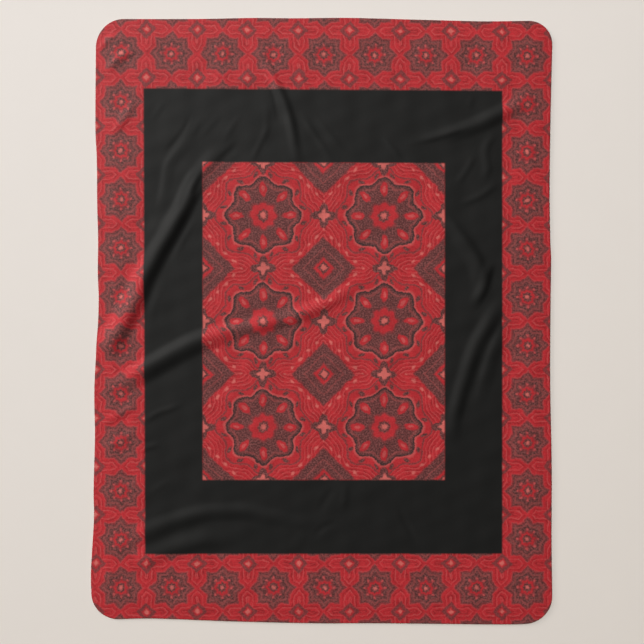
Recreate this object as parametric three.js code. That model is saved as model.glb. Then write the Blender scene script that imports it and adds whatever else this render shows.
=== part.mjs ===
// A sherpa blanket laid out flat: a printed fleece face sewn round its edge to a sherpa pile back.
// Millimetres, +Z up. It lies on the plane z = 0 with its length along Y, centred on the origin,
// and soft folds rise from the plane where the cloth was pushed together.
import * as THREE from "three";

// Laid size, over the furthest reach of each side.
const WIDTH = 1532;
const LENGTH = 2014;

// Layers, from the floor up.
const PILE_THICKNESS = 6;
const LAYER_GAP = 0.3;
const FLEECE_THICKNESS = 2;

// The sewn rim, where both layers thin down to the seam that joins them.
const RIM_DEPTH = 9; // how far in from the edge the layers begin to close
const RIM_LIFT = 1.4; // the pile's outermost edge clears the floor
const SEAM_HEIGHT = 3.2; // top of the pile at the seam
const RIM_FLEECE = 1.3; // thickness of the fleece at the seam

// Each side's inset from the laid box, from the end of one round corner to the start of the next.
// Along is the place in X on the bottom and top sides, and in Y on the right and left ones.
const SIDES = {
  bottom: [
    { along: -675, inset: 17.5 },
    { along: -550, inset: 19.5 },
    { along: -290, inset: 10 },
    { along: -20, inset: 4 },
    { along: 190, inset: 4 },
    { along: 575, inset: 0.1 },
    { along: 671, inset: 1.5 },
  ],
  right: [
    { along: -913, inset: 0 },
    { along: -720, inset: 2.5 },
    { along: -480, inset: 2 },
    { along: -200, inset: 7 },
    { along: 40, inset: 6 },
    { along: 200, inset: 4 },
    { along: 270, inset: 6.5 },
    { along: 430, inset: 9 },
    { along: 670, inset: 6 },
    { along: 919, inset: 0 },
  ],
  top: [
    { along: -657, inset: 4 },
    { along: -420, inset: 4 },
    { along: -230, inset: 0.5 },
    { along: -90, inset: 1.5 },
    { along: 90, inset: 0.2 },
    { along: 310, inset: 6 },
    { along: 500, inset: 11 },
    { along: 580, inset: 11.5 },
    { along: 689, inset: 10 },
  ],
  left: [
    { along: -902, inset: 1.5 },
    { along: -825, inset: 0.4 },
    { along: -660, inset: 10 },
    { along: -570, inset: 9 },
    { along: -480, inset: 11 },
    { along: -375, inset: 13.5 },
    { along: -230, inset: 11.5 },
    { along: -60, inset: 20 },
    { along: 0, inset: 24 },
    { along: 80, inset: 26 },
    { along: 160, inset: 23 },
    { along: 270, inset: 24 },
    { along: 390, inset: 21 },
    { along: 540, inset: 19.5 },
    { along: 650, inset: 15 },
    { along: 907, inset: 16.5 },
  ],
};

// The main folds. A crest runs through its points (x, y). The cloth falls from it in a soft bell over a flank
// on its left hand and one on its right, seen along the crest. Narrowing is the share of both flanks that is
// lost by the crest's end, and the fold fades in and out over shares of the crest.
const FOLDS = {
  leftUpper: {
    height: 13, left: 62, right: 52, narrowing: 0.4, fadeIn: 0.13, fadeOut: 0.35,
    crest: [
      [-736, -140], [-707, -84], [-665, -19], [-621, 64], [-571, 174], [-463, 363], [-401, 486], [-341, 559],
      [-294, 592],
    ],
  },
  leftMiddle: {
    height: 11.2, left: 42, right: 54, narrowing: 0.1, fadeIn: 0.3, fadeOut: 0.5,
    crest: [[-728, -238], [-651, -194], [-575, -152], [-405, -62], [-212, -13], [-110, 8]],
  },
  centreCrease: {
    height: 6.5, left: 40, right: 36, narrowing: 0.1, fadeIn: 0.3, fadeOut: 0.45,
    crest: [[-330, -43], [-212, -15], [-70, 22], [46, 76], [130, 134], [182, 184]],
  },
  top: {
    height: 6.6, left: 24, right: 24, narrowing: 0, fadeIn: 0.4, fadeOut: 0.4,
    crest: [[-220, 926], [-140, 763], [-105, 667], [-86, 567], [-70, 488]],
  },
  rightUpper: {
    height: 8.5, left: 40, right: 36, narrowing: 0.1, fadeIn: 0.36, fadeOut: 0.5,
    crest: [[726, 762], [683, 738], [637, 711], [594, 690], [510, 650], [434, 624], [330, 600]],
  },
  rightBend: {
    height: 5.6, left: 42, right: 42, narrowing: 0, fadeIn: 0.4, fadeOut: 0.4,
    crest: [[404, 352], [464, 278], [514, 192], [530, 126], [528, 56]],
  },
  rightElbow: {
    height: 5, left: 22, right: 30, narrowing: 0, fadeIn: 0.25, fadeOut: 0.4,
    crest: [[566, 205], [550, 160], [539, 116], [524, 84], [492, 30]],
  },
  rightMiddle: {
    height: 7.4, left: 37, right: 37, narrowing: 0.1, fadeIn: 0.25, fadeOut: 0.35,
    crest: [[612, 92], [545, -20], [511, -82], [486, -152], [458, -246], [438, -329], [428, -440]],
  },
  rightOuter: {
    height: 4.2, left: 40, right: 24, narrowing: 0, fadeIn: 0.3, fadeOut: 0.4,
    crest: [[620, 10], [578, -72], [549, -149], [528, -225], [512, -300]],
  },
  bottomLeft: {
    height: 5.5, left: 42, right: 46, narrowing: 0.3, fadeIn: 0.25, fadeOut: 0.6,
    crest: [
      [-700, -760], [-651, -729], [-582, -697], [-477, -659], [-386, -636], [-286, -628], [-236, -632],
      [-137, -653], [-64, -666], [79, -664],
    ],
  },
  bottomOuter: {
    height: 5, left: 46, right: 38, narrowing: 0, fadeIn: 0.3, fadeOut: 0.35,
    crest: [
      [-650, -806], [-560, -780], [-495, -757], [-430, -738], [-386, -726], [-330, -732], [-285, -744],
    ],
  },
};

// How finely the cloth is divided.
const CURVE_STEPS = 4; // for each point of a side, and half the steps of a corner
const CREST_STEP = 40; // between sections across a fold
const SECTION_SHARES = [-1.04, -0.64, -0.3, 0, 0.3, 0.64, 1.04]; // places across a fold, in flanks
const NET_STEP = 96; // between points where the cloth lies flat
const NET_CLEARANCE = 52; // from a point of the net to a fold or the rim
const FOLD_CLEARANCE = 16; // between the points of two folds, and from them to the rim
const JOINED = 0.5; // points of the edge nearer than this are one
const OUTER_REACH = 20 * LENGTH; // of the triangle that the net of triangles starts from

const COLOURS = { fleece: 0x8f1d24, pile: 0xf0e9dd };
const CLOTH_ROUGHNESS = 0.95;

// The edge of the cloth as a closed path, counterclockwise: a spline along each side and a quarter turn at
// each corner.
function edgePath() {
  const placed = (side, place) => SIDES[side].map(({ along, inset }) => place(along, inset));
  const sides = [
    placed("bottom", (along, inset) => new THREE.Vector2(along, inset - LENGTH / 2)),
    placed("right", (along, inset) => new THREE.Vector2(WIDTH / 2 - inset, along)),
    placed("top", (along, inset) => new THREE.Vector2(along, LENGTH / 2 - inset)).reverse(),
    placed("left", (along, inset) => new THREE.Vector2(inset - WIDTH / 2, along)).reverse(),
  ];
  const path = new THREE.Path().moveTo(sides[0][0].x, sides[0][0].y);
  sides.forEach((points, i) => {
    path.splineThru(points.slice(1));
    const from = points.at(-1);
    const to = sides[(i + 1) % sides.length][0];
    const fromUpright = i % 2 === 1;
    const centre = fromUpright ? new THREE.Vector2(to.x, from.y) : new THREE.Vector2(from.x, to.y);
    const turn = (i - 1) * (Math.PI / 2);
    const [radiusX, radiusY] = [Math.abs(to.x - from.x), Math.abs(to.y - from.y)];
    path.absellipse(centre.x, centre.y, radiusX, radiusY, turn, turn + Math.PI / 2, false);
  });
  return path;
}

// The path's points in order, without the repeats where its curves join.
function loopPoints(path) {
  const points = path.getPoints(CURVE_STEPS);
  return points.filter((p, i) => p.distanceTo(points[(i + 1) % points.length]) > JOINED);
}

// The loop moved inwards. Its points run counterclockwise, so inwards is to the left.
function inwards(loop, distance) {
  return loop.map((p, i) => {
    const before = loop[(i + loop.length - 1) % loop.length];
    const after = loop[(i + 1) % loop.length];
    const along = after.clone().sub(before).normalize();
    return new THREE.Vector2(p.x - along.y * distance, p.y + along.x * distance);
  });
}

function isInside(loop, point) {
  let inside = false;
  loop.forEach((a, i) => {
    const b = loop[(i + 1) % loop.length];
    if (a.y > point.y !== b.y > point.y) {
      const crossing = a.x + ((point.y - a.y) / (b.y - a.y)) * (b.x - a.x);
      if (point.x < crossing) inside = !inside;
    }
  });
  return inside;
}

// A fold's crest as evenly spaced points.
function crestPoints(fold) {
  const curve = new THREE.SplineCurve(fold.crest.map(([x, y]) => new THREE.Vector2(x, y)));
  return curve.getSpacedPoints(Math.round(curve.getLength() / CREST_STEP));
}

// The width of a fold's flank on the side that the sign gives, at a share of the crest's length.
function flankWidth(fold, sign, along) {
  return (sign < 0 ? fold.left : fold.right) * (1 - fold.narrowing * along);
}

// The points of the sections across a fold, from the left flank's foot to the right one's.
function sectionPoints(fold, crest) {
  const last = crest.length - 1;
  return crest.flatMap((p, i) => {
    const behind = crest[Math.max(i - 1, 0)];
    const ahead = crest[Math.min(i + 1, last)];
    const along = ahead.clone().sub(behind).normalize();
    return SECTION_SHARES.map((share) => {
      const right = share * flankWidth(fold, share, i / last);
      return new THREE.Vector2(p.x + along.y * right, p.y - along.x * right);
    });
  });
}

// Where a point lies against a crest: the share of its length, and the distance to the right of it.
function placeOnCrest(crest, point) {
  let nearest = { distance: Infinity };
  for (let i = 0; i + 1 < crest.length; i++) {
    const run = crest[i + 1].clone().sub(crest[i]);
    const to = point.clone().sub(crest[i]);
    const share = THREE.MathUtils.clamp(to.dot(run) / run.lengthSq(), 0, 1);
    const distance = to.clone().addScaledVector(run, -share).length();
    if (distance < nearest.distance) {
      nearest = { distance, along: (i + share) / (crest.length - 1), right: -Math.sign(run.cross(to)) };
    }
  }
  return { along: nearest.along, right: nearest.right * nearest.distance };
}

// How far a fold lifts the cloth: in a bell from its crest, level there and at both feet.
function liftOf(fold, crest, point) {
  const { along, right } = placeOnCrest(crest, point);
  const across = Math.min(Math.abs(right) / flankWidth(fold, right, along), 1);
  const fadeIn = THREE.MathUtils.smoothstep(along, 0, fold.fadeIn);
  const fadeOut = THREE.MathUtils.smoothstep(1 - along, 0, fold.fadeOut);
  return fold.height * fadeIn * fadeOut * ((1 + Math.cos(Math.PI * across)) / 2);
}

// A staggered net of points over the laid box.
function netPoints() {
  const points = [];
  const rows = Math.floor(LENGTH / NET_STEP);
  const columns = Math.floor(WIDTH / NET_STEP);
  for (let row = 0; row <= rows; row++) {
    const stagger = row % 2 ? NET_STEP / 4 : -NET_STEP / 4;
    for (let column = 0; column <= columns; column++) {
      const x = (column - columns / 2) * NET_STEP + stagger;
      points.push(new THREE.Vector2(x, (row - rows / 2) * NET_STEP));
    }
  }
  return points;
}

// Delaunay triangles over the points, which are added one at a time inside a triangle far larger than the
// cloth. Each point replaces the triangles whose circle holds it.
function triangulate(points) {
  const outer = [
    new THREE.Vector2(-OUTER_REACH, -OUTER_REACH),
    new THREE.Vector2(OUTER_REACH, -OUTER_REACH),
    new THREE.Vector2(0, OUTER_REACH),
  ];
  const all = [...points, ...outer];
  const circled = (a, b, c) => {
    const [p, q, r] = [all[a], all[b], all[c]];
    const [pp, qq, rr] = [p.lengthSq(), q.lengthSq(), r.lengthSq()];
    const twice = 2 * (p.x * (q.y - r.y) + q.x * (r.y - p.y) + r.x * (p.y - q.y));
    const x = (pp * (q.y - r.y) + qq * (r.y - p.y) + rr * (p.y - q.y)) / twice;
    const y = (pp * (r.x - q.x) + qq * (p.x - r.x) + rr * (q.x - p.x)) / twice;
    return { corners: [a, b, c], x, y, radius: Math.hypot(p.x - x, p.y - y) };
  };
  const count = points.length;
  let triangles = [circled(count, count + 1, count + 2)];
  points.forEach((point, index) => {
    const hole = new Map(); // the edges round the triangles that go
    triangles = triangles.filter(({ corners, x, y, radius }) => {
      if (Math.hypot(point.x - x, point.y - y) >= radius) return true;
      corners.forEach((from, i) => {
        const to = corners[(i + 1) % corners.length];
        if (!hole.delete(`${to},${from}`)) hole.set(`${from},${to}`, [from, to]);
      });
      return false;
    });
    for (const [from, to] of hole.values()) triangles.push(circled(from, to, index));
  });
  return triangles.map(({ corners }) => corners).filter((corners) => corners.every((i) => i < count));
}

// The cloth in plan: its points, with the edge loop first, its triangles, and how far the folds lift each
// point.
function layOut() {
  const edge = loopPoints(edgePath());
  const field = inwards(edge, RIM_DEPTH + FOLD_CLEARANCE);
  const points = [...edge, ...inwards(edge, RIM_DEPTH)];
  const free = (clearance) => (p) =>
    isInside(field, p) && points.every((q) => p.distanceTo(q) > clearance);
  const folds = Object.values(FOLDS).map((fold) => ({ fold, crest: crestPoints(fold) }));
  for (const { fold, crest } of folds) {
    points.push(...sectionPoints(fold, crest).filter(free(FOLD_CLEARANCE)));
  }
  points.push(...netPoints().filter(free(NET_CLEARANCE)));
  const triangles = triangulate(points).filter((corners) => {
    const middle = new THREE.Vector2();
    corners.forEach((i) => middle.addScaledVector(points[i], 1 / corners.length));
    return isInside(edge, middle);
  });
  const lifts = points.map((p) => folds.reduce((sum, { fold, crest }) => sum + liftOf(fold, crest, p), 0));
  return { points, triangles, lifts, edgeCount: edge.length };
}

// A closed sheet between two heights over the plan, with a wall round its edge.
function sheet({ points, triangles, edgeCount }, lowAt, highAt) {
  const count = points.length;
  const layer = (heightAt) => points.flatMap((p, i) => [p.x, p.y, heightAt(i)]);
  const faces = triangles.flatMap(([a, b, c]) => [a, c, b, a + count, b + count, c + count]);
  for (let i = 0; i < edgeCount; i++) {
    const next = (i + 1) % edgeCount;
    faces.push(i, next, next + count, i, next + count, i + count);
  }
  const positions = [...layer(lowAt), ...layer(highAt)];
  return new THREE.BufferGeometry()
    .setAttribute("position", new THREE.Float32BufferAttribute(positions, 3))
    .setIndex(faces);
}

function clothMesh(name, geometry, color) {
  const material = new THREE.MeshStandardMaterial({ color, roughness: CLOTH_ROUGHNESS, metalness: 0 });
  const mesh = new THREE.Mesh(geometry, material);
  mesh.name = name;
  return mesh;
}

const plan = layOut();
const atRim = (i) => i < plan.edgeCount;
const pileLow = (i) => plan.lifts[i] + (atRim(i) ? RIM_LIFT : 0);
const pileHigh = (i) => plan.lifts[i] + (atRim(i) ? SEAM_HEIGHT : PILE_THICKNESS);
const fleeceLow = (i) => pileHigh(i) + LAYER_GAP;
const fleeceHigh = (i) => fleeceLow(i) + (atRim(i) ? RIM_FLEECE : FLEECE_THICKNESS);

const blanket = new THREE.Group();
blanket.add(
  clothMesh("sherpa_back", sheet(plan, pileLow, pileHigh), COLOURS.pile),
  clothMesh("printed_face", sheet(plan, fleeceLow, fleeceHigh), COLOURS.fleece),
);

export default blanket;
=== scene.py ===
"""A sherpa blanket laid out face up on a pale floor, its printed fleece face sewn to a sherpa back.

Metres, +Z up. The blanket lies on z = 0 with its length along Y.
"""
import math
from collections import namedtuple

import bpy
import numpy as np
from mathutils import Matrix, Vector


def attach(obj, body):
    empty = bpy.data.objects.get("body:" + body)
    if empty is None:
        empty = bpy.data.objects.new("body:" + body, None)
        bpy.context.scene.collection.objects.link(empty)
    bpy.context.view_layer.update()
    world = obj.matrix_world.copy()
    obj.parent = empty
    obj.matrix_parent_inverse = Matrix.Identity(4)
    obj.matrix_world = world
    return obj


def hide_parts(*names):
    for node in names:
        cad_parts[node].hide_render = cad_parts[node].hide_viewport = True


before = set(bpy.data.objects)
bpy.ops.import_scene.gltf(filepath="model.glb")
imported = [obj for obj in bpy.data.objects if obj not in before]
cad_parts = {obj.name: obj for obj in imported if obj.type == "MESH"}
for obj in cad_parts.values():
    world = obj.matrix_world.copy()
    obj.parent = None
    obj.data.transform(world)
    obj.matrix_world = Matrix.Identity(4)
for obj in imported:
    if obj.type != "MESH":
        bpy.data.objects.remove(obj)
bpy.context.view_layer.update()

MM = 0.001

# Sizes of the blanket. The tables of its edge and folds are in millimetres, as in its solids.
LAID_WIDTH = 1532 * MM
LAID_LENGTH = 2014 * MM
PILE_TOP = 6.0 * MM  # top of the pressed pile, where the fleece lies on it
FACE_LOW = 6.3 * MM
FACE_HIGH = 8.3 * MM

# Towards the edge the seam presses both layers down, and there the fleece rolls over to the seam.
PRESS_REACH = 70 * MM
PRESS_DEPTH = 2.6 * MM
RIM_DEPTH = 2.8 * MM
SEAM_HEIGHT = 3.0 * MM
FACE_INNER_REACH = 1.9 * MM
PILE_INNER_REACH = 1.5 * MM
PILE_REACH = 2.0 * MM
PILE_BULGE = 1.5 * MM

# Where each roll of the rim starts and ends, in degrees off the vertical
FACE_ROLL = (15, 100)
PILE_ROLL = (165, 55)
TUCK = (95, 20)  # of both layers, up inside the seam

# Nets of the cloth, fine where it shows. The hidden side has every second line.
COLUMNS = 220
ROWS = 290
ROLL_STEPS = 6
TUCK_STEPS = 4
CORNER_STEPS = 24
LINE_STEPS = 48  # from each given point to the next

# Each side's inset from the laid box. Along is the place in X for the bottom and top, in Y for the other two.
Inset = namedtuple("Inset", "along inset")
BOTTOM = [
    Inset(-675, 17.5), Inset(-550, 19.5), Inset(-290, 10), Inset(-20, 4), Inset(190, 4), Inset(575, 0.1),
    Inset(671, 1.5),
]
RIGHT = [
    Inset(-913, 0), Inset(-720, 2.5), Inset(-480, 2), Inset(-200, 7), Inset(40, 6), Inset(200, 4),
    Inset(270, 6.5), Inset(430, 9), Inset(670, 6), Inset(919, 0),
]
TOP = [
    Inset(-657, 4), Inset(-420, 4), Inset(-230, 0.5), Inset(-90, 1.5), Inset(90, 0.2), Inset(310, 6),
    Inset(500, 11), Inset(580, 11.5), Inset(689, 10),
]
LEFT = [
    Inset(-902, 1.5), Inset(-825, 0.4), Inset(-660, 10), Inset(-570, 9), Inset(-480, 11), Inset(-375, 13.5),
    Inset(-230, 11.5), Inset(-60, 20), Inset(0, 24), Inset(80, 26), Inset(160, 23), Inset(270, 24),
    Inset(390, 21), Inset(540, 19.5), Inset(650, 15), Inset(907, 16.5),
]

# Folds. The cloth falls in a soft bell from the crest over a flank on its left and one on its right, seen
# along the crest. Narrowing is the share of the flanks lost by the end. Fades are shares of the crest.
Fold = namedtuple("Fold", "height left right narrowing fade_in fade_out crest")
FOLDS = [
    Fold(13.0, 62, 52, 0.4, 0.13, 0.35,
         [(-736, -140), (-707, -84), (-665, -19), (-621, 64), (-571, 174), (-463, 363), (-401, 486),
          (-341, 559), (-294, 592)]),
    Fold(11.2, 42, 54, 0.1, 0.30, 0.50,
         [(-728, -238), (-651, -194), (-575, -152), (-405, -62), (-212, -13), (-110, 8)]),
    Fold(6.5, 40, 36, 0.1, 0.30, 0.45,
         [(-330, -43), (-212, -15), (-70, 22), (46, 76), (130, 134), (182, 184)]),
    Fold(6.6, 24, 24, 0.0, 0.40, 0.40,
         [(-220, 926), (-140, 763), (-105, 667), (-86, 567), (-70, 488)]),
    Fold(8.5, 40, 36, 0.1, 0.36, 0.50,
         [(726, 762), (683, 738), (637, 711), (594, 690), (510, 650), (434, 624), (330, 600)]),
    Fold(5.6, 42, 42, 0.0, 0.40, 0.40,
         [(404, 352), (464, 278), (514, 192), (530, 126), (528, 56)]),
    Fold(5.0, 22, 30, 0.0, 0.25, 0.40,
         [(566, 205), (550, 160), (539, 116), (524, 84), (492, 30)]),
    Fold(7.4, 37, 37, 0.1, 0.25, 0.35,
         [(612, 92), (545, -20), (511, -82), (486, -152), (458, -246), (438, -329), (428, -440)]),
    Fold(4.2, 40, 24, 0.0, 0.30, 0.40,
         [(620, 10), (578, -72), (549, -149), (528, -225), (512, -300)]),
    Fold(5.5, 42, 46, 0.3, 0.25, 0.60,
         [(-700, -760), (-651, -729), (-582, -697), (-477, -659), (-386, -636), (-286, -628), (-236, -632),
          (-137, -653), (-64, -666), (79, -664)]),
    Fold(5.0, 46, 38, 0.0, 0.30, 0.35,
         [(-650, -806), (-560, -780), (-495, -757), (-430, -738), (-386, -726), (-330, -732), (-285, -744)]),
]

# Finer creases that the solids leave out, in the same columns. A negative height is a trough.
CREASES = [
    Fold(2.5, 18, 36, 0.0, 0.3, 0.3,
         [(-540, 345), (-523, 445), (-512, 517), (-487, 553), (-455, 592), (-420, 640)]),
    Fold(-1.4, 12, 12, 0.0, 0.3, 0.3, [(-524, 543), (-508, 568), (-480, 601), (-452, 640), (-430, 692)]),
    Fold(1.9, 16, 16, 0.0, 0.3, 0.3, [(-490, 360), (-476, 393), (-458, 443), (-431, 488), (-409, 513)]),
    Fold(-3.4, 17, 17, 0.0, 0.35, 0.4, [(-428, 404), (-420, 425), (-412, 444), (-396, 474), (-380, 505)]),
    Fold(1.4, 40, 18, 0.0, 0.3, 0.35, [(-612, 212), (-593, 241), (-560, 291), (-527, 341)]),
    Fold(-1.8, 14, 26, 0.0, 0.4, 0.4, [(-352, 520), (-322, 548), (-294, 573), (-270, 596)]),
    Fold(-1.5, 9, 11, 0.0, 0.2, 0.4, [(-172, 800), (-163, 768), (-147, 690), (-138, 640)]),
    Fold(0.7, 18, 16, 0.0, 0.4, 0.4, [(-412, 597), (-370, 645), (-328, 695)]),
    Fold(0.8, 16, 16, 0.0, 0.4, 0.4, [(-330, 585), (-300, 640), (-260, 694)]),
    Fold(1.4, 16, 14, 0.0, 0.3, 0.4, [(-236, 522), (-205, 585), (-187, 624), (-168, 662)]),
    Fold(0.8, 18, 16, 0.0, 0.4, 0.4, [(-190, 560), (-183, 640), (-180, 690), (-186, 745)]),
    Fold(0.7, 16, 16, 0.0, 0.4, 0.4, [(-572, 656), (-545, 695), (-515, 736)]),
    Fold(0.7, 16, 16, 0.0, 0.4, 0.4, [(-440, 606), (-418, 640), (-398, 680)]),
    Fold(2.3, 14, 16, 0.0, 0.3, 0.4, [(-74, 692), (-37, 639), (13, 566), (42, 522)]),
    Fold(1.6, 14, 16, 0.0, 0.4, 0.4, [(-30, 690), (30, 615), (92, 548)]),
    Fold(2.0, 14, 14, 0.0, 0.4, 0.4, [(196, 612), (222, 586), (248, 558), (272, 530)]),
    Fold(3.0, 13, 26, 0.0, 0.4, 0.4, [(520, 650), (470, 636), (400, 614), (335, 598), (280, 590)]),
    Fold(3.4, 24, 38, 0.0, 0.3, 0.25,
         [(398, 376), (414, 350), (462, 283), (504, 226), (527, 172), (528, 126)]),
    Fold(2.2, 20, 24, 0.0, 0.3, 0.3, [(590, 630), (549, 586), (544, 541), (550, 501), (526, 452)]),
    Fold(1.6, 16, 18, 0.0, 0.3, 0.3, [(506, 556), (492, 520), (472, 488), (446, 448)]),
    Fold(1.9, 16, 20, 0.0, 0.3, 0.3, [(590, 462), (565, 442), (517, 409), (450, 386)]),
    Fold(0.9, 18, 18, 0.0, 0.4, 0.4, [(500, 752), (494, 726), (484, 700)]),
    Fold(1.5, 20, 20, 0.0, 0.4, 0.4, [(78, -528), (76, -590), (68, -636)]),
    Fold(-1.3, 22, 20, 0.0, 0.4, 0.4, [(52, -540), (14, -590), (-10, -646)]),
    Fold(-1.4, 18, 18, 0.0, 0.4, 0.4, [(-30, -726), (5, -684), (60, -668)]),
    Fold(-2.3, 18, 18, 0.0, 0.4, 0.4, [(250, -606), (272, -655), (324, -746)]),
    Fold(1.1, 32, 30, 0.0, 0.4, 0.4, [(-96, -770), (-72, -720), (-52, -684)]),
    Fold(1.8, 16, 15, 0.0, 0.3, 0.4, [(-600, -340), (-542, -304), (-505, -292), (-450, -268)]),
    Fold(1.7, 18, 15, 0.0, 0.3, 0.4, [(-622, -436), (-580, -420), (-526, -406)]),
    Fold(0.7, 18, 16, 0.0, 0.4, 0.4, [(-580, -580), (-530, -544), (-486, -524)]),
    Fold(0.9, 22, 20, 0.0, 0.4, 0.4, [(-520, 134), (-556, 50), (-568, -34)]),
    Fold(1.0, 16, 16, 0.0, 0.4, 0.4, [(-498, 190), (-455, 274), (-410, 352)]),
    Fold(3.2, 22, 22, 0.0, 0.3, 0.3, [(-716, 822), (-694, 853), (-655, 882), (-606, 908)]),
    Fold(2.2, 18, 16, 0.0, 0.3, 0.3, [(-742, 892), (-718, 922), (-676, 956)]),
    Fold(2.6, 24, 20, 0.0, 0.3, 0.3, [(-700, 600), (-678, 634), (-648, 680), (-606, 752)]),
    Fold(2.6, 24, 20, 0.0, 0.3, 0.3, [(-740, -352), (-690, -322), (-645, -296), (-600, -270)]),
    Fold(2.2, 24, 20, 0.0, 0.3, 0.3, [(-720, -432), (-670, -396), (-612, -356)]),
]
CREST_STEP = 20 * MM

# The slight unevenness of thick cloth on its pile, as waves in all directions
LUMP_COUNT = 28
LUMP_LENGTHS = (0.06, 0.24)
LUMP_HEIGHT = 0.8 * MM
LUMP_SEED = 7


# Lines and the laid edge
def smooth_line(points):
    """A Catmull-Rom line through points in millimetres, as a dense polyline in metres."""
    p = np.array(points, float) * MM
    padded = np.vstack([p[:1], p, p[-1:]])
    t = np.linspace(0, 1, LINE_STEPS, endpoint=False)[:, None]
    stretches = []
    for before, a, b, after in zip(padded, padded[1:], padded[2:], padded[3:]):
        out, into = (b - before) / 2, (after - a) / 2
        cubic = 2 * a - 2 * b + out + into
        square = 3 * b - 3 * a - 2 * out - into
        stretches.append(cubic * t**3 + square * t**2 + out * t + a)
    return np.vstack(stretches + [p[-1:]])


def evenly(line, count):
    """The polyline again, as count + 1 points at even distances."""
    run = np.concatenate([[0], np.cumsum(np.hypot(*np.diff(line, axis=0).T))])
    places = np.linspace(0, run[-1], count + 1)
    return np.column_stack([np.interp(places, run, line[:, k]) for k in (0, 1)])


def quarter_turn(start, end, from_upright, share_from, share_to):
    """Part of the round corner from one side's end to the next side's start."""
    centre = np.array((end[0], start[1]) if from_upright else (start[0], end[1]))
    angle = np.linspace(share_from, share_to, CORNER_STEPS)[:, None] * math.pi / 2
    return centre + np.cos(angle) * (start - centre) + np.sin(angle) * (end - centre)


def laid_edge():
    """The edge counterclockwise as four curves, from the bottom one on, that meet amid the round corners."""
    half_width, half_length = LAID_WIDTH / MM / 2, LAID_LENGTH / MM / 2
    sides = [
        smooth_line([(s.along, s.inset - half_length) for s in BOTTOM]),
        smooth_line([(half_width - s.inset, s.along) for s in RIGHT]),
        smooth_line([(s.along, half_length - s.inset) for s in reversed(TOP)]),
        smooth_line([(s.inset - half_width, s.along) for s in reversed(LEFT)]),
    ]
    curves = []
    for i, side in enumerate(sides):
        before, after = sides[i - 1], sides[(i + 1) % 4]
        upright = i % 2 == 1
        lead = quarter_turn(before[-1], side[0], not upright, 0.5, 1)
        tail = quarter_turn(side[-1], after[0], upright, 0, 0.5)
        curves.append(evenly(np.vstack([lead, side[1:-1], tail]), ROWS if upright else COLUMNS))
    return curves


def outward(loop):
    """The outward direction at each point of a counterclockwise loop."""
    along = np.roll(loop, -1, axis=0) - np.roll(loop, 1, axis=0)
    along /= np.hypot(*along.T)[:, None]
    return np.column_stack([along[:, 1], -along[:, 0]])


EDGE_CURVES = laid_edge()
EDGE_LOOP = np.vstack([curve[:-1] for curve in EDGE_CURVES])
EDGE_OUT = outward(EDGE_LOOP)
INNER_LOOP = EDGE_LOOP - EDGE_OUT * RIM_DEPTH


# Height of the cloth
def smooth_step(share):
    share = np.clip(share, 0, 1)
    return share * share * (3 - 2 * share)


def fold_lift(fold, x, y):
    """How far a fold lifts the cloth at each place."""
    line = smooth_line(fold.crest)
    crest = evenly(line, max(2, round(np.hypot(*np.diff(line, axis=0).T).sum() / CREST_STEP)))
    reach = max(fold.left, fold.right) * MM
    low, high = crest.min(axis=0) - reach, crest.max(axis=0) + reach
    near = (x > low[0]) & (x < high[0]) & (y > low[1]) & (y < high[1])
    px, py = x[near], y[near]
    distance = np.full(px.shape, np.inf)
    along = np.zeros(px.shape)
    right = np.ones(px.shape)
    for i, ((ax, ay), (bx, by)) in enumerate(zip(crest, crest[1:])):
        run_x, run_y = bx - ax, by - ay
        share = np.clip(((px - ax) * run_x + (py - ay) * run_y) / (run_x**2 + run_y**2), 0, 1)
        gap = np.hypot(px - ax - share * run_x, py - ay - share * run_y)
        closer = gap < distance
        distance[closer] = gap[closer]
        along[closer] = (i + share[closer]) / (len(crest) - 1)
        right[closer] = -np.sign(run_x * (py - ay) - run_y * (px - ax))[closer]
    flank = np.where(right < 0, fold.left, fold.right) * MM * (1 - fold.narrowing * along)
    across = np.minimum(distance / flank, 1)
    fades = smooth_step(along / fold.fade_in) * smooth_step((1 - along) / fold.fade_out)
    lifted = np.zeros(x.shape)
    lifted[near] = fold.height * MM * fades * (1 + np.cos(math.pi * across)) / 2
    return lifted


def soft_lumps(x, y):
    draw = np.random.default_rng(LUMP_SEED)
    total = np.zeros(x.shape)
    for _ in range(LUMP_COUNT):
        turn = 2 * math.pi / draw.uniform(*LUMP_LENGTHS)
        heading, phase = draw.uniform(0, 2 * math.pi, 2)
        total += np.sin(turn * (x * math.cos(heading) + y * math.sin(heading)) + phase)
    return LUMP_HEIGHT * total / math.sqrt(LUMP_COUNT)


def edge_distance(net):
    """How far each point of the net is from the edge."""
    return np.array([np.sqrt(((row[:, None] - EDGE_LOOP) ** 2).sum(axis=2).min(axis=1)) for row in net])


# Nets and panels
def patch(bottom, right, top, left):
    """A net of points that fills a loop of four curves, as a Coons patch."""
    u = np.linspace(0, 1, COLUMNS + 1)[None, :, None]
    v = np.linspace(0, 1, ROWS + 1)[:, None, None]
    low, high = bottom[None], top[::-1][None]
    near, far = left[::-1][:, None], right[:, None]
    corners = (1 - u) * (1 - v) * bottom[0] + u * (1 - v) * right[0] + u * v * top[0] + (1 - u) * v * left[0]
    return (1 - v) * low + v * high + (1 - u) * near + u * far - corners


def inner_net():
    """The net inside the rim, in plan."""
    ends = np.cumsum([0] + [len(curve) - 1 for curve in EDGE_CURVES])
    closed = np.vstack([INNER_LOOP, INNER_LOOP[:1]])
    return patch(*[closed[a : b + 1] for a, b in zip(ends, ends[1:])])


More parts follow.
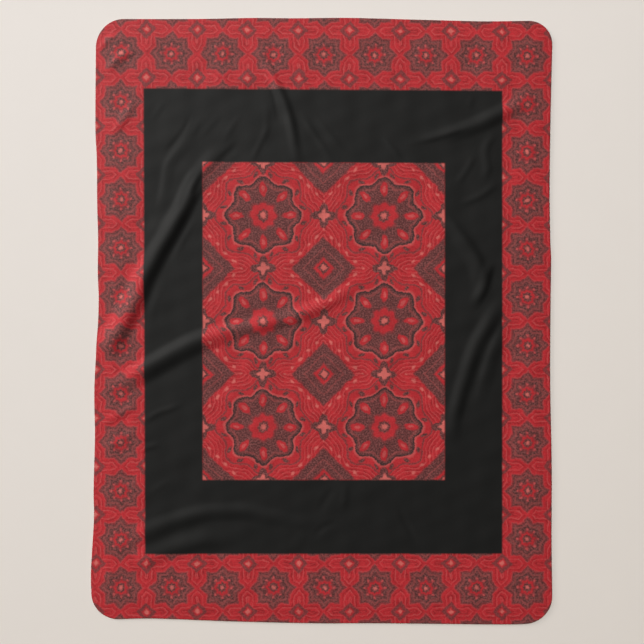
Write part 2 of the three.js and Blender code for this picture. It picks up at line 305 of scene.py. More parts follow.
def numbered(rows, columns, first):
    """Indices of a net's points, its quads, and its outer loop counterclockwise."""
    index = first + np.arange((rows + 1) * (columns + 1)).reshape(rows + 1, columns + 1)
    quads = np.stack([index[:-1, :-1], index[:-1, 1:], index[1:, 1:], index[1:, :-1]], -1).reshape(-1, 4)
    loop = np.concatenate([index[0, :-1], index[:-1, -1], index[-1, :0:-1], index[:0:-1, 0]])
    return quads, loop


def panel(name, shown, hidden, rings, upwards):
    """A closed sheet: a fine net where it shows, a coarse one where it is hidden, and rings between them."""
    shown_quads, shown_loop = numbered(ROWS, COLUMNS, 0)
    first_ring = shown.shape[0] * shown.shape[1]
    rim = len(shown_loop)
    loops = [shown_loop] + [first_ring + k * rim + np.arange(rim) for k in range(len(rings))]
    hidden_quads, hidden_loop = numbered(ROWS // 2, COLUMNS // 2, first_ring + len(rings) * rim)
    walls = [np.stack([a, b, np.roll(b, -1), np.roll(a, -1)], -1) for a, b in zip(loops, loops[1:])]
    last, middle, after = loops[-1][::2], loops[-1][1::2], np.roll(loops[-1], -2)[::2]
    next_hidden = np.roll(hidden_loop, -1)
    closing = [np.stack(corners, -1) for corners in (
        (last, hidden_loop, middle), (middle, hidden_loop, next_hidden), (middle, next_hidden, after))]
    faces = [quads.tolist() for quads in (shown_quads, hidden_quads[:, ::-1], *walls, *closing)]
    faces = [face if upwards else face[::-1] for group in faces for face in group]
    points = np.vstack([shown.reshape(-1, 3), *rings, hidden.reshape(-1, 3)])
    mesh = bpy.data.meshes.new(name)
    mesh.from_pydata(points.tolist(), [], faces)
    mesh.shade_smooth()
    piece = bpy.data.objects.new(name, mesh)
    bpy.context.scene.collection.objects.link(piece)
    return piece


def raised(net, heights):
    return np.dstack([net, heights])


def rim_ring(reach, height):
    """A ring of points a reach outwards from the rim's start."""
    return np.column_stack([INNER_LOOP + EDGE_OUT * reach, rim_lift + height])


def arc(reach, rise, centre_height, turn, steps):
    """Places (reach, height) along part of an ellipse."""
    angles = np.radians(np.linspace(*turn, steps))
    return [(reach * math.sin(a), centre_height + rise * math.cos(a)) for a in angles]


net = inner_net()
net_x, net_y = net[..., 0], net[..., 1]
unpressed = smooth_step((edge_distance(net) - RIM_DEPTH) / PRESS_REACH)
fine_lift = sum(fold_lift(fold, net_x, net_y) for fold in FOLDS + CREASES)
fine_lift = fine_lift + soft_lumps(net_x, net_y) * unpressed
fine_press = PRESS_DEPTH * (1 - unpressed)
floor_lift = np.maximum(fine_lift, 0)
hidden_lift = fine_lift[::2, ::2] - fine_press[::2, ::2]
rim_lift = floor_lift.reshape(-1)[numbered(ROWS, COLUMNS, 0)[1]]


def make_face():
    """The fleece, turned down over the edge and up inside the seam. Points keep their place in the print."""
    pressed_high, pressed_low = FACE_HIGH - PRESS_DEPTH, FACE_LOW - PRESS_DEPTH
    roll = arc(RIM_DEPTH, pressed_high - SEAM_HEIGHT, SEAM_HEIGHT, FACE_ROLL, ROLL_STEPS)
    roll += arc(FACE_INNER_REACH, pressed_low - SEAM_HEIGHT, SEAM_HEIGHT, TUCK, TUCK_STEPS)
    hidden_net = net[::2, ::2]
    shown = raised(net, fine_lift - fine_press + FACE_HIGH)
    hidden = raised(hidden_net, hidden_lift + FACE_LOW)
    piece = panel("printed_face_cloth", shown, hidden, [rim_ring(*place) for place in roll], True)
    steps = np.hypot(*np.diff([(0.0, pressed_high)] + roll, axis=0).T)
    rolled = [INNER_LOOP + EDGE_OUT * length for length in np.cumsum(steps)]
    flat = np.vstack([net.reshape(-1, 2), *rolled, hidden_net.reshape(-1, 2)])
    flat[:, 1] += PRINT_SKEW * flat[:, 0] * np.maximum(flat[:, 1], 0)
    place = piece.data.attributes.new("print_place", "FLOAT_VECTOR", "POINT")
    place.data.foreach_set("vector", np.column_stack([flat, np.zeros(len(flat))]).astype(np.float32).ravel())
    # Mask of the painted shade on the rim: 1 on the rim's rings, where the fleece turns over the edge, 0 on
    # the nets
    turned = np.zeros(len(flat), np.float32)
    turned[net.shape[0] * net.shape[1] : -hidden_net.shape[0] * hidden_net.shape[1]] = 1
    piece.data.attributes.new("rim_painted_shade", "FLOAT", "POINT").data.foreach_set("value", turned)
    return piece


def make_back():
    """The pile, which follows the fleece to the seam and bulges out below it."""
    roll = arc(PILE_REACH, PILE_BULGE, PILE_BULGE, PILE_ROLL, ROLL_STEPS)
    roll += arc(PILE_INNER_REACH, PILE_TOP - PRESS_DEPTH - SEAM_HEIGHT, SEAM_HEIGHT, TUCK, TUCK_STEPS)
    shown = raised(net, floor_lift)
    hidden = raised(net[::2, ::2], hidden_lift + PILE_TOP)
    return panel("sherpa_back_cloth", shown, hidden, [rim_ring(*place) for place in roll], False)


# Shader maths
class Wire:
    """A number in a node tree. Its operators add Math nodes, so that a pattern reads as a formula."""

    def __init__(self, tree, socket):
        self.tree = tree
        self.socket = socket

    def math(self, operation, *others):
        node = self.tree.nodes.new("ShaderNodeMath")
        node.operation = operation
        for slot, value in zip(node.inputs, (self, *others)):
            plug(self.tree, value, slot)
        return Wire(self.tree, node.outputs[0])

    def __add__(self, other):
        return self.math("ADD", other)

    def __sub__(self, other):
        return self.math("SUBTRACT", other)

    def __rsub__(self, other):
        return self.math("MULTIPLY_ADD", -1.0, other)

    def __mul__(self, other):
        return self.math("MULTIPLY", other)

    def __truediv__(self, other):
        return self.math("DIVIDE", other)

    def __abs__(self):
        return self.math("ABSOLUTE")

    __radd__ = __add__
    __rmul__ = __mul__

    def least(self, other):
        return self.math("MINIMUM", other)

    def most(self, other):
        return self.math("MAXIMUM", other)

    def fraction(self):
        return self.math("FRACT")

    def cosine(self):
        return self.math("COSINE")

    def above(self, edge, soft):
        """1 where the value is above the edge and 0 below it, with a soft change."""
        node = self.tree.nodes.new("ShaderNodeMapRange")
        node.interpolation_type = "SMOOTHSTEP"
        plug(self.tree, self, node.inputs["Value"])
        plug(self.tree, edge - soft, node.inputs["From Min"])
        plug(self.tree, edge + soft, node.inputs["From Max"])
        return Wire(self.tree, node.outputs["Result"])

    def below(self, edge, soft):
        return 1 - self.above(edge, soft)

    def between(self, low, high, soft):
        return self.above(low, soft) * self.below(high, soft)


def plug(tree, value, slot):
    """Puts a wire, a socket or a plain value into a node's input."""
    if isinstance(value, Wire):
        value = value.socket
    if isinstance(value, bpy.types.NodeSocket):
        tree.links.new(value, slot)
    else:
        slot.default_value = value


def add_node(tree, kind, inputs=None, **settings):
    """A node with its settings and inputs."""
    node = tree.nodes.new(kind)
    for name, value in settings.items():
        setattr(node, name, value)
    for name, value in (inputs or {}).items():
        plug(tree, value, node.inputs[name])
    return node


def mix_colour(tree, share, first, second, blend="MIX"):
    node = add_node(tree, "ShaderNodeMix", data_type="RGBA", blend_type=blend)
    plug(tree, share, node.inputs[0])
    plug(tree, first, node.inputs[6])
    plug(tree, second, node.inputs[7])
    return node.outputs[2]


def shaded(tree, colour, shade):
    return mix_colour(tree, 1.0, colour, shade, "MULTIPLY")


def noise(tree, place, scale, detail=2.0):
    node = add_node(tree, "ShaderNodeTexNoise", {"Vector": place, "Scale": scale, "Detail": detail})
    return Wire(tree, node.outputs["Fac"])


def cells(tree, place, scale):
    """Distance to the nearest of many scattered points, in cells."""
    node = add_node(tree, "ShaderNodeTexVoronoi", {"Vector": place, "Scale": scale})
    return Wire(tree, node.outputs["Distance"])


# Nap of each material: fibres and tufts per metre, how uneven their shade is, and how deep their bumps are
Nap = namedtuple("Nap", "fibres tufts unevenness depth")
FLEECE_NAP = Nap(900.0, 160.0, 0.35, 0.35 * MM)
PILE_NAP = Nap(1100.0, 330.0, 0.3, 0.9 * MM)
THREAD_NAP = Nap(2500.0, 400.0, 0.5, 0.1 * MM)
FIBRE_SHARE = 0.6  # of the nap's height, and tufts have the rest


def fibre_group():
    """Uneven fibres, shared by the cloths and the thread: a shade round 1, and a height for bumps."""
    group = bpy.data.node_groups.new("fibre_nap", "ShaderNodeTree")
    group.interface.new_socket("Place", in_out="INPUT", socket_type="NodeSocketVector")
    for name in ("Fibres per metre", "Tufts per metre", "Unevenness"):
        group.interface.new_socket(name, in_out="INPUT", socket_type="NodeSocketFloat")
    for name in ("Shade", "Height"):
        group.interface.new_socket(name, in_out="OUTPUT", socket_type="NodeSocketFloat")
    given = group.nodes.new("NodeGroupInput").outputs
    fibres = noise(group, given["Place"], given["Fibres per metre"], detail=3.0)
    tufts = noise(group, given["Place"], given["Tufts per metre"], detail=1.0)
    height = fibres * FIBRE_SHARE + tufts * (1 - FIBRE_SHARE)
    result = group.nodes.new("NodeGroupOutput").inputs
    plug(group, 1 + (height - 0.5) * Wire(group, given["Unevenness"]), result["Shade"])
    plug(group, height, result["Height"])
    return group


FIBRES = fibre_group()


def add_fibres(tree, place, nap):
    given = {"Place": place, "Fibres per metre": nap.fibres, "Tufts per metre": nap.tufts}
    node = add_node(tree, "ShaderNodeGroup", {**given, "Unevenness": nap.unevenness}, node_tree=FIBRES)
    return Wire(tree, node.outputs["Shade"]), Wire(tree, node.outputs["Height"])


# Inks of the print. The last number is how much of the stipple shows on them.
RED = (0.455, 0.018, 0.025, 0.0)
CRIMSON = (0.30, 0.011, 0.015, 0.0)
ROSE = (0.53, 0.075, 0.074, 0.0)
CORAL = (0.60, 0.125, 0.110, 0.0)
GARNET = (0.205, 0.030, 0.032, 0.25)
MAROON = (0.132, 0.0325, 0.0318, 0.8)
ASH = (0.245, 0.050, 0.048, 0.3)
INK = (0.040, 0.019, 0.019, 0.3)
PALE_GRAIN = (0.33, 0.124, 0.115, 1.0)
DARK_GRAIN = (0.030, 0.016, 0.015, 1.0)
BLACK = (0.0052, 0.0052, 0.0047, 1.0)
CREAM = (0.80, 0.745, 0.65, 1.0)
# Painted shade of the pile's hollows
CREAM_SHADE = (0.60, 0.53, 0.44, 1.0)
THREAD_RED = (0.23, 0.014, 0.018, 1.0)

# Where the print's parts lie on the laid cloth, which is a little askew towards its top
Box = namedtuple("Box", "left right bottom top")
BAND = Box(-0.5876, 0.5994, -0.7712, 0.7676)
BAND_LEAN = 0.0034  # of its left side
CENTRE = Box(-0.394, 0.4081, -0.526, 0.5253)
PRINT_SKEW = 0.009
RIM_PAINTED_SHADE = 0.25  # painted shade: how much darker the colour is painted where the fleece is turned over the edge

# How drawn lines stray: waves per metre, and how far they reach
HAND_STRAYS = [(14.0, 14 * MM), (50.0, 12 * MM), (150.0, 6 * MM)]
STRAYS_APART = 1.7  # between the strays along X and along Y

# Softness of drawn edges, in metres, millimetres or shares of a motif as their bands are
INK_EDGE = 3.8 * MM
ROSETTE_EDGE = 3.6
STAR_EDGE = 3.4
STREAK_EDGE = 0.09
LOZENGE_EDGE = 0.03

# Bands of a motif outwards from its middle, each to its outer radius in millimetres or shares of the motif
Band = namedtuple("Band", "reach ink")
ROSETTE_BANDS = [
    Band(10, CORAL), Band(19, MAROON), Band(42, RED), Band(48, GARNET), Band(100, MAROON), Band(104, ASH),
    Band(113, MAROON), Band(118, INK), Band(124, ROSE), Band(146, RED), Band(152, GARNET), Band(220, RED),
]
STREAKS = [
    Band(0.36, RED), Band(0.56, CRIMSON), Band(0.74, RED), Band(0.94, ROSE), Band(1.0, RED),
]
LOZENGE_BANDS = [
    Band(0.12, CORAL), Band(0.20, MAROON), Band(0.32, RED), Band(0.37, GARNET), Band(0.60, MAROON),
    Band(0.65, ASH), Band(0.93, MAROON), Band(1.0, GARNET), Band(1.2, RED),
]
STAR_BANDS = [
    Band(6, CORAL), Band(11, MAROON), Band(20, RED), Band(25, GARNET), Band(39, MAROON), Band(42, ASH),
    Band(49, MAROON), Band(53, GARNET), Band(100, RED),
]
CROSS_BANDS = [
    Band(9, CORAL), Band(17, RED), Band(34, GARNET), Band(60, RED),
]
ROSETTE_COLUMNS = 2
ROSETTE_ROWS = 3
ROSETTE_LOBES = 8
ROSETTE_WAVE = 0.08
ROSETTE_REACH = 152 * MM
PETALS = (52 * MM, 112 * MM)
PETAL_TAPER = 1.1
Layer = namedtuple("Layer", "edge soft ink")
PETAL_LAYERS = [Layer(0.22, 0.16, GARNET), Layer(0.46, 0.16, RED), Layer(0.88, 0.08, ROSE)]
COLLAR_DOTS = 16
COLLAR_MIDDLE = 134 * MM
COLLAR_DOT = 8 * MM
LOZENGE_REACH = 0.108
LEAF_PLACE = 1.18
LEAF_PITCH = 0.5
LEAF_REACH = 6 * MM
LEAF_SLIMNESS = 0.6
FLOWER_REACH = 0.032
FLOWER_HEART = 0.5  # of its reach
FLOWER_PETALS = 4
FLOWER_WAVE = 0.3
STREAK_PITCH = 14 * MM
STREAK_FADING = 0.6
STAR_PITCH = (0.1684, 0.1606)
STAR_CENTRE = (0.0927, 0.0803)
STAR_REACH = 53 * MM
STAR_POINTS = 8
STAR_DOT_PLACE = 33 * MM
STAR_DOT = 3.5 * MM
CROSS_REACH = 34 * MM

# Worn patches of the streaks, fine stipple and veins of the print, at so many per metre
WORN_PER_METRE = 40.0
WORN_EDGE = 0.12
GRAINS_PER_METRE = 185.0
Stipple = namedtuple("Stipple", "edge soft least more ink")
PALE_STIPPLE = Stipple(0.56, 0.07, 0.10, 0.30, PALE_GRAIN)
DARK_STIPPLE = Stipple(0.44, 0.07, 0.14, 0.50, DARK_GRAIN)
VEINS_PER_METRE = 40.0
VEIN_LEAST = 0.72
VEIN_RANGE = 0.56

Print = namedtuple("Print", "colour stipple")


def banded(value, unit, soft, bands):
    """The bands' inks along a value, which has their reaches in the unit."""
    node = add_node(value.tree, "ShaderNodeValToRGB")
    plug(value.tree, value / (bands[-1].reach * unit), node.inputs["Fac"])
    stops = node.color_ramp.elements
    stops[0].position, stops[0].color = 0.0, bands[0].ink
    stops[1].position, stops[1].color = 1.0, bands[-1].ink
    for inner, outer in zip(bands, bands[1:]):
        stops.new((inner.reach - soft) / bands[-1].reach).color = inner.ink
        stops.new((inner.reach + soft) / bands[-1].reach).color = outer.ink
    return Print(node.outputs["Color"], Wire(value.tree, node.outputs["Alpha"]))


def lay_over(mask, under, over):
    """One print over another where the mask says."""
    colour = mix_colour(mask.tree, mask, under.colour, over.colour)
    return Print(colour, under.stipple + mask * (over.stipple - under.stipple))


def plain(ink):
    return Print((*ink[:3], 1.0), ink[3])


def wrapped(value, pitch):
    """The distance from the middle of the repeat that the value falls in."""
    return ((value / pitch).fraction() - 0.5) * pitch


def length_of(x, y):
    return (x * x + y * y).math("SQRT")


def streaked(distance, worn):
    """Red in broken streaks that echo a motif's outline."""
    lines = banded((distance / STREAK_PITCH).fraction(), 1.0, STREAK_EDGE, STREAKS)
    return lay_over(worn * STREAK_FADING, lines, plain(RED))


def dots_round(ring, angle, count, place):
    """Distance from the nearest of some dots spread round a motif's middle."""
    return length_of(ring - place, wrapped(angle, 2 * math.pi / count) * place)


def centre_print(x, y, worn):
    """Scalloped rosettes in rows, with lozenges, leaves and small flowers between them on streaked red."""
    across = (CENTRE.right - CENTRE.left) / ROSETTE_COLUMNS
    along = (CENTRE.top - CENTRE.bottom) / ROSETTE_ROWS
    rx, ry = wrapped(x - CENTRE.left, across), wrapped(y - CENTRE.bottom, along)
    lx, ly = wrapped(x - CENTRE.left + across / 2, across), wrapped(y - CENTRE.bottom + along / 2, along)
    angle = ry.math("ARCTAN2", rx)
    lobes = (angle * float(ROSETTE_LOBES)).cosine()
    ring = length_of(rx, ry) / (1 + ROSETTE_WAVE * lobes)
    streaks = streaked(ring, worn)
    rosette = banded(ring, MM, ROSETTE_EDGE, ROSETTE_BANDS)
    bulge = (ring - sum(PETALS) / 2) * (2 / (PETALS[1] - PETALS[0]))
    petal = lobes - bulge * bulge * PETAL_TAPER
    for layer in PETAL_LAYERS:
        rosette = lay_over(petal.above(layer.edge, layer.soft), rosette, plain(layer.ink))
    dots = dots_round(ring, angle, COLLAR_DOTS, COLLAR_MIDDLE)
    rosette = lay_over(dots.below(COLLAR_DOT, INK_EDGE), rosette, plain(MAROON))
    laid = lay_over(ring.below(ROSETTE_REACH, INK_EDGE), streaks, rosette)
    for fx, fy in ((lx, ry), (rx, ly)):
        petals = (fy.math("ARCTAN2", fx) * float(FLOWER_PETALS)).cosine()
        flower = length_of(fx, fy) / (1 + FLOWER_WAVE * petals)
        laid = lay_over(flower.below(FLOWER_REACH, INK_EDGE), laid, plain(MAROON))
        laid = lay_over(flower.below(FLOWER_REACH * FLOWER_HEART, INK_EDGE), laid, plain(CORAL))
    lozenge = (abs(lx) + abs(ly)) / LOZENGE_REACH
    side = wrapped((abs(lx) - abs(ly)) / LOZENGE_REACH, LEAF_PITCH)
    leaves = length_of(lozenge - LEAF_PLACE, side * LEAF_SLIMNESS) * LOZENGE_REACH
    laid = lay_over(leaves.below(LEAF_REACH, INK_EDGE), laid, plain(CORAL))
    lozenges = banded(lozenge, 1.0, LOZENGE_EDGE, LOZENGE_BANDS)
    return lay_over(lozenge.below(1.0, LOZENGE_EDGE), laid, lozenges)


def border_print(x, y, worn):
    """Eight-point stars tip to tip, with a small diamond in each cross between them."""
    across, along = STAR_PITCH
    sx = abs(wrapped(x - STAR_CENTRE[0], across))
    sy = abs(wrapped(y - STAR_CENTRE[1] + along / 2, along))
    star = sx.most(sy).least((sx + sy) * math.sqrt(0.5))
    laid = banded(star, MM, STAR_EDGE, STAR_BANDS)
    laid = lay_over(star.above(STAR_REACH, INK_EDGE), laid, streaked(star, worn))
    angle = sy.math("ARCTAN2", sx) + math.pi / STAR_POINTS
    dots = dots_round(length_of(sx, sy), angle, STAR_POINTS, STAR_DOT_PLACE)
    laid = lay_over(dots.below(STAR_DOT, INK_EDGE), laid, plain(ROSE))
    cross = (across / 2 - sx) + (along / 2 - sy)
    return lay_over(cross.below(CROSS_REACH, INK_EDGE), laid, banded(cross, MM, STAR_EDGE, CROSS_BANDS))


def inside_of(x, y, box):
    return x.between(box.left, box.right, INK_EDGE) * y.between(box.bottom, box.top, INK_EDGE)


def hand_drift(tree, place, apart):
    """How far a drawn line strays, in a slow bend, a wobble and a ragged edge."""
    moved = add_node(tree, "ShaderNodeVectorMath", operation="ADD")
    plug(tree, place, moved.inputs[0])
    plug(tree, (apart, apart, 0.0), moved.inputs[1])
    strayed = 0.0
    for per_metre, stray in HAND_STRAYS:
        strayed = (noise(tree, moved.outputs[0], per_metre) - 0.5) * stray + strayed
    return strayed


# Materials. A finish says how rough, glossy and fuzzy a surface looks.
Finish = namedtuple("Finish", "roughness specular sheen")
FLEECE_FINISH = Finish(0.73, 0.29, 0.0)
PILE_FINISH = Finish(0.95, 0.1, 0.45)
THREAD_FINISH = Finish(0.6, 0.4, 0.1)
FLOOR_FINISH = Finish(0.9, 0.2, 0.0)

# Curls and clumps of the pile, how much they count in its height, and the painted shade in the hollows
# between them
Curls = namedtuple("Curls", "per_metre share")
LARGE_CURLS = Curls(135.0, 1.1)
SMALL_CURLS = Curls(380.0, 0.8)
CLUMPS = Curls(70.0, 0.6)
PILE_FIBRE_SHARE = 0.7
CURL_BEND = 16 * MM
BENDS_PER_METRE = 95.0
HOLLOW_TOP = 0.62
HOLLOW_EDGE = 0.5
HOLLOW_SHADE = 0.8


def new_material(name, finish):
    material = bpy.data.materials.new(name)
    material.use_nodes = True
    tree = material.node_tree
    shader = next(node for node in tree.nodes if node.type == "BSDF_PRINCIPLED")
    shader.inputs["Roughness"].default_value = finish.roughness
    shader.inputs["Specular IOR Level"].default_value = finish.specular
    shader.inputs["Sheen Weight"].default_value = finish.sheen
    return material, tree, shader


def add_bump(tree, shader, height, depth):
    node = add_node(tree, "ShaderNodeBump", {"Height": height, "Distance": depth, "Strength": 1.0})
    plug(tree, node.outputs["Normal"], shader.inputs["Normal"])


def fleece_material():
    material, tree, shader = new_material("printed_fleece", FLEECE_FINISH)
    place = add_node(tree, "ShaderNodeAttribute", attribute_name="print_place").outputs["Vector"]
    spread = add_node(tree, "ShaderNodeSeparateXYZ", {"Vector": place})
    x, y = Wire(tree, spread.outputs["X"]), Wire(tree, spread.outputs["Y"])
    x_drawn = x + hand_drift(tree, place, 0.0)
    y_drawn = y + hand_drift(tree, place, STRAYS_APART)
    worn = noise(tree, place, WORN_PER_METRE).above(0.5, WORN_EDGE)
    in_centre = inside_of(x, y, CENTRE)
    laid = lay_over(in_centre, border_print(x_drawn, y_drawn, worn), centre_print(x_drawn, y_drawn, worn))
    grain = noise(tree, place, GRAINS_PER_METRE)
    pale = grain.above(PALE_STIPPLE.edge, PALE_STIPPLE.soft)
    pale = pale * (PALE_STIPPLE.least + PALE_STIPPLE.more * laid.stipple)
    colour = mix_colour(tree, pale, laid.colour, PALE_STIPPLE.ink)
    dark = grain.below(DARK_STIPPLE.edge, DARK_STIPPLE.soft)
    dark = dark * (DARK_STIPPLE.least + DARK_STIPPLE.more * laid.stipple)
    colour = mix_colour(tree, dark, colour, DARK_STIPPLE.ink)
    veins = VEIN_LEAST + VEIN_RANGE * noise(tree, place, VEINS_PER_METRE, detail=3.0)
    colour = shaded(tree, colour, veins)
    leaning = x + (0.5 - x / (BAND.right - BAND.left)) * y * BAND_LEAN
    colour = mix_colour(tree, inside_of(leaning, y, BAND) * (1 - in_centre), colour, BLACK)
    shade, height = add_fibres(tree, place, FLEECE_NAP)
    # Painted shade: the fleece's colour is darker where it is turned over the edge
    turned = Wire(tree, add_node(tree, "ShaderNodeAttribute", attribute_name="rim_painted_shade").outputs["Fac"])
    shade = shade * (1 - turned * RIM_PAINTED_SHADE)
    plug(tree, shaded(tree, colour, shade), shader.inputs["Base Color"])
    add_bump(tree, shader, height, FLEECE_NAP.depth)
    return material


def sherpa_material():
    """Curled pile: soft curls of two sizes, bent out of line, with fibres over them and painted shade in the
    hollows.
    """
    material, tree, shader = new_material("sherpa_pile", PILE_FINISH)
    place = add_node(tree, "ShaderNodeTexCoord").outputs["Object"]
    bend = add_node(tree, "ShaderNodeTexNoise", {"Vector": place, "Scale": BENDS_PER_METRE, "Detail": 3.0})
    bent = add_node(tree, "ShaderNodeVectorMath", operation="MULTIPLY_ADD")
    for slot, value in zip(bent.inputs, (bend.outputs["Color"], (CURL_BEND,) * 3, place)):
        plug(tree, value, slot)
    shade, height = add_fibres(tree, bent.outputs["Vector"], PILE_NAP)
    large = cells(tree, bent.outputs["Vector"], LARGE_CURLS.per_metre)
    small = cells(tree, bent.outputs["Vector"], SMALL_CURLS.per_metre)
    clumps = noise(tree, place, CLUMPS.per_metre, detail=1.0)
    nubs = 1 - large * large * LARGE_CURLS.share - small * small * SMALL_CURLS.share + clumps * CLUMPS.share
    # Painted shade: the pile's colour darkens towards CREAM_SHADE in the hollows between the curls
    hollow_painted_shade = nubs.below(HOLLOW_TOP, HOLLOW_EDGE) * HOLLOW_SHADE
    colour = mix_colour(tree, hollow_painted_shade, CREAM, CREAM_SHADE)
    plug(tree, shaded(tree, colour, shade), shader.inputs["Base Color"])
    add_bump(tree, shader, nubs + height * PILE_FIBRE_SHARE, PILE_NAP.depth)
    return material


def thread_material():
    material, tree, shader = new_material("seam_thread", THREAD_FINISH)
    place = add_node(tree, "ShaderNodeTexCoord").outputs["Object"]
    shade, height = add_fibres(tree, place, THREAD_NAP)
    plug(tree, shaded(tree, THREAD_RED, shade), shader.inputs["Base Color"])
    add_bump(tree, shader, height, THREAD_NAP.depth)
    return material


# What repeats along the rim. Its rows have a reach from the rim's start and a height, in millimetres.
RimRow = namedtuple("RimRow", "reach height")
TUFT_ROWS = [RimRow(1.0, 2.2), RimRow(1.3, 1.3), RimRow(0.4, 1.0)]
TUFT_SIZES = {"Pitch": 3.2 * MM, "Size": 1.2 * MM, "Seed": 11}
TUFT_TURNS = (6.3, 6.3, 6.3)
TUFT_LEAST = (0.7, 0.7, 0.55)
TUFT_MOST = (1.25, 1.1, 1.0)
STITCH_ROW = RimRow(2.4, 3.0)
STITCH_SIZES = {"Pitch": 6.0 * MM, "Slant": 2.2 * MM, "Rise": 2.6 * MM, "Bend": 1.3 * MM, "Thread": 0.32 * MM}
STITCH_STEPS = 5
THREAD_SIDES = 5


def path_object(name, loops):
    """Closed lines as a mesh of edges, for a node tree to follow."""
    points, edges = [], []
    for loop in loops:
        first, count = len(points), len(loop)
        points += loop.tolist()
        edges += [(first + i, first + (i + 1) % count) for i in range(count)]
    mesh = bpy.data.meshes.new(name)
    mesh.from_pydata(points, edges, [])
    holder = bpy.data.objects.new(name, mesh)
    bpy.context.scene.collection.objects.link(holder)
    return holder


def rim_tree(name, sizes, material, make_shape):
    """A node tree that sets a shape at even steps along closed lines, its X axis along the line."""
    tree = bpy.data.node_groups.new(name, "GeometryNodeTree")
    tree.interface.new_socket("Geometry", in_out="INPUT", socket_type="NodeSocketGeometry")
    for label in sizes:
        kind = "NodeSocketInt" if label == "Seed" else "NodeSocketFloat"
        tree.interface.new_socket(label, in_out="INPUT", socket_type=kind)
    tree.interface.new_socket("Geometry", in_out="OUTPUT", socket_type="NodeSocketGeometry")
    given = tree.nodes.new("NodeGroupInput").outputs
    curve = add_node(tree, "GeometryNodeMeshToCurve", {"Mesh": given["Geometry"]}).outputs["Curve"]
    spaced = {"Curve": curve, "Length": given["Pitch"]}
    steps = add_node(tree, "GeometryNodeCurveToPoints", spaced, mode="LENGTH").outputs
    turn = add_node(tree, "FunctionNodeAlignRotationToVector", {"Vector": steps["Tangent"]},
                    axis="X", pivot_axis="Z").outputs["Rotation"]
    shape, turn, scale = make_shape(tree, given, turn)
    copies = {"Points": steps["Points"], "Instance": shape, "Rotation": turn, "Scale": scale}
    placed = add_node(tree, "GeometryNodeInstanceOnPoints", copies).outputs["Instances"]
    whole = add_node(tree, "GeometryNodeRealizeInstances", {"Geometry": placed}).outputs["Geometry"]
    finish = add_node(tree, "GeometryNodeSetMaterial", {"Geometry": whole, "Material": material})
    result = tree.nodes.new("NodeGroupOutput")
    plug(tree, finish.outputs["Geometry"], result.inputs["Geometry"])
    return tree


def random_value(tree, kind, low, high, seed):
    node = add_node(tree, "FunctionNodeRandomValue", data_type=kind)
    slots = [s for s in node.inputs if s.enabled and s.name in ("Min", "Max")]
    plug(tree, low, slots[0])
    plug(tree, high, slots[1])
    plug(tree, seed, node.inputs["Seed"])
    return next(s for s in node.outputs if s.enabled)


def tuft_shape(tree, given, turn):
    """A curl of pile: a small faceted ball, turned and sized at random."""
    ball = add_node(tree, "GeometryNodeMeshIcoSphere", {"Radius": given["Size"], "Subdivisions": 1})
    smooth = add_node(tree, "GeometryNodeSetShadeSmooth", {"Geometry": ball.outputs["Mesh"]})
    tilt = random_value(tree, "FLOAT_VECTOR", (0, 0, 0), TUFT_TURNS, given["Seed"])
    turned = add_node(tree, "FunctionNodeEulerToRotation", {"Euler": tilt}).outputs["Rotation"]
    scale = random_value(tree, "FLOAT_VECTOR", TUFT_LEAST, TUFT_MOST, given["Seed"])
    return smooth.outputs["Geometry"], turned, scale


def stitch_shape(tree, given, turn):
    """A slanted stitch over the seam, as a bent thread."""
    along, out = Wire(tree, given["Slant"]), Wire(tree, given["Rise"])
    ends = []
    for sign in (-0.5, 0.5):
        place = add_node(tree, "ShaderNodeCombineXYZ")
        plug(tree, along * sign, place.inputs["X"])
        plug(tree, out * sign, place.inputs["Z"])
        ends.append(place.outputs["Vector"])
    bend = add_node(tree, "ShaderNodeCombineXYZ")
    plug(tree, Wire(tree, given["Bend"]) * -1.0, bend.inputs["Y"])
    arch = {"Start": ends[0], "Middle": bend.outputs["Vector"], "End": ends[1], "Resolution": STITCH_STEPS}
    line = add_node(tree, "GeometryNodeCurveQuadraticBezier", arch).outputs["Curve"]
    section = {"Radius": given["Thread"], "Resolution": THREAD_SIDES}
    ring = add_node(tree, "GeometryNodeCurvePrimitiveCircle", section).outputs["Curve"]
    swept = {"Curve": line, "Profile Curve": ring, "Fill Caps": True}
    tube = add_node(tree, "GeometryNodeCurveToMesh", swept)
    return tube.outputs["Mesh"], turn, (1, 1, 1)


def grow_along(name, loops, tree, sizes):
    """The node tree's work along the lines, as a plain mesh."""
    path = path_object(name + "_path", loops)
    modifier = path.modifiers.new("along", "NODES")
    modifier.node_group = tree
    for socket in tree.interface.items_tree:
        if socket.in_out == "INPUT" and socket.name in sizes:
            modifier[socket.identifier] = sizes[socket.name]
    shaped = path.evaluated_get(bpy.context.evaluated_depsgraph_get())
    piece = bpy.data.objects.new(name, bpy.data.meshes.new_from_object(shaped))
    path.modifiers.remove(modifier)
    bpy.data.objects.remove(path)
    bpy.context.scene.collection.objects.link(piece)
    return piece


def make_tufts(material):
    tree = rim_tree("pile_along_rim", TUFT_SIZES, material, tuft_shape)
    loops = [rim_ring(row.reach * MM, row.height * MM) for row in TUFT_ROWS]
    return grow_along("sherpa_rim_tufts", loops, tree, TUFT_SIZES)


def make_stitches(material):
    tree = rim_tree("stitches_along_seam", STITCH_SIZES, material, stitch_shape)
    loop = rim_ring(STITCH_ROW.reach * MM, STITCH_ROW.height * MM)
    return grow_along("edge_seam_stitches", [loop], tree, STITCH_SIZES)


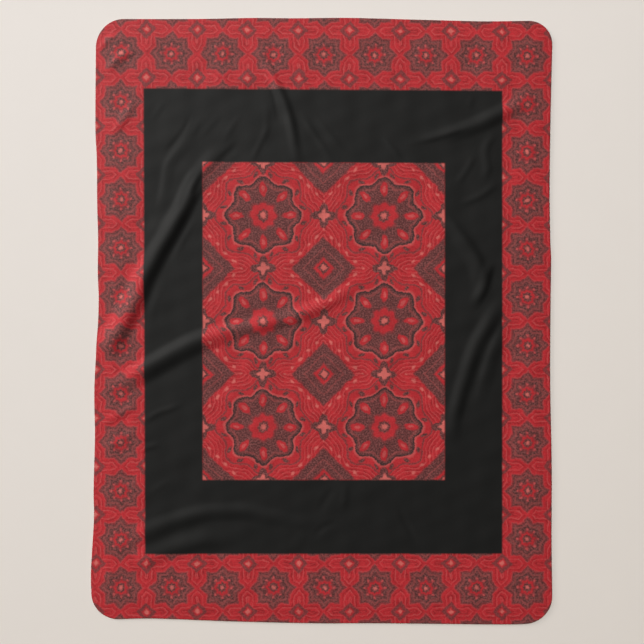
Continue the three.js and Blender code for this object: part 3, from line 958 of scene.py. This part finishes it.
# Camera, light and floor
VIEW_CENTRE = (0.0014, -0.0029)
VIEW_WIDTH = 2.134  # what the picture spans at the cloth
LENS = 42.0
SENSOR = 36.0
DAYLIGHT = (1.0, 0.985, 0.96)
ROOM_LIGHT = 0.085
Lamp = namedtuple("Lamp", "name azimuth height distance size power colour")
WINDOW = Lamp("window", 139.0, 32.0, 30.0, 13.5, 15100.0, DAYLIGHT)
FLOOR_LAMPS = [
    Lamp("cool_wash", 115.0, 62.0, 7.0, 7.0, 318.0, (0.775, 0.86, 1.0)),
    Lamp("warm_wash", 115.0, 88.0, 12.0, 12.0, 690.0, (1.0, 0.89, 0.73)),
    Lamp("low_wash", 151.0, 17.0, 30.0, 9.0, 4000.0, DAYLIGHT),
]
FLOOR_DROP = 0.5 * MM
FLOOR_REACH = 6.0
FLOOR_PAPER = (0.78, 0.725, 0.67, 1.0)
FLOOR_GRAINS_PER_METRE = 8.0
FLOOR_GRAIN_LEAST = 0.99
FLOOR_GRAIN_RANGE = 0.02


def add_camera():
    camera = bpy.data.cameras.new("camera")
    camera.lens = LENS
    camera.sensor_width = SENSOR
    holder = bpy.data.objects.new("camera", camera)
    holder.location = (*VIEW_CENTRE, VIEW_WIDTH * LENS / SENSOR + FACE_HIGH)
    bpy.context.scene.collection.objects.link(holder)
    bpy.context.scene.camera = holder


def add_lamp(lamp, lit):
    """A wide round lamp that faces the blanket's middle and lights some pieces."""
    light = bpy.data.lights.new(lamp.name, "AREA")
    light.shape = "DISK"
    light.size = lamp.size
    light.energy = lamp.power
    light.color = lamp.colour
    holder = bpy.data.objects.new(lamp.name, light)
    around, up = math.radians(lamp.azimuth), math.radians(lamp.height)
    level = math.cos(up)
    towards = Vector((level * math.cos(around), level * math.sin(around), math.sin(up)))
    holder.location = lamp.distance * towards
    holder.rotation_euler = (-holder.location).to_track_quat("-Z", "Y").to_euler()
    bpy.context.scene.collection.objects.link(holder)
    receivers = bpy.data.collections.new(lamp.name + "_lit")
    for piece in lit:
        receivers.objects.link(piece)
    holder.light_linking.receiver_collection = receivers


def add_room():
    world = bpy.data.worlds.new("soft_room")
    world.use_nodes = True
    tree = world.node_tree
    background = tree.nodes["Background"].inputs
    seen = tree.nodes.new("ShaderNodeLightPath").outputs["Is Camera Ray"]
    room = tuple(ROOM_LIGHT * part for part in DAYLIGHT)
    plug(tree, mix_colour(tree, seen, (*room, 1.0), FLOOR_PAPER), background["Color"])
    background["Strength"].default_value = 1.0
    bpy.context.scene.world = world


def add_floor():
    mesh = bpy.data.meshes.new("floor")
    r = FLOOR_REACH
    corners = ((-r, -r), (r, -r), (r, r), (-r, r))
    mesh.from_pydata([(x, y, -FLOOR_DROP) for x, y in corners], [], [(0, 1, 2, 3)])
    floor = bpy.data.objects.new("floor", mesh)
    material, tree, shader = new_material("floor_paper", FLOOR_FINISH)
    place = add_node(tree, "ShaderNodeTexCoord").outputs["Object"]
    grain = FLOOR_GRAIN_LEAST + FLOOR_GRAIN_RANGE * noise(tree, place, FLOOR_GRAINS_PER_METRE)
    plug(tree, shaded(tree, FLOOR_PAPER, grain), shader.inputs["Base Color"])
    mesh.materials.append(material)
    bpy.context.scene.collection.objects.link(floor)
    return floor


add_camera()
add_room()
floor = add_floor()
bpy.context.scene.view_settings.view_transform = "Standard"

sherpa = sherpa_material()
face = make_face()
face.data.materials.append(fleece_material())
back = make_back()
back.data.materials.append(sherpa)
tufts = make_tufts(sherpa)
stitches = make_stitches(thread_material())
add_lamp(WINDOW, (face, back, tufts, stitches))
for lamp in FLOOR_LAMPS:
    add_lamp(lamp, (floor,))

for piece, slot in (
    (face, "printed_fleece"),
    (stitches, "printed_fleece"),
    (back, "sherpa_pile"),
    (tufts, "sherpa_pile"),
):
    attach(piece, "root")
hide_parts("printed_face")
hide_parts("sherpa_back")
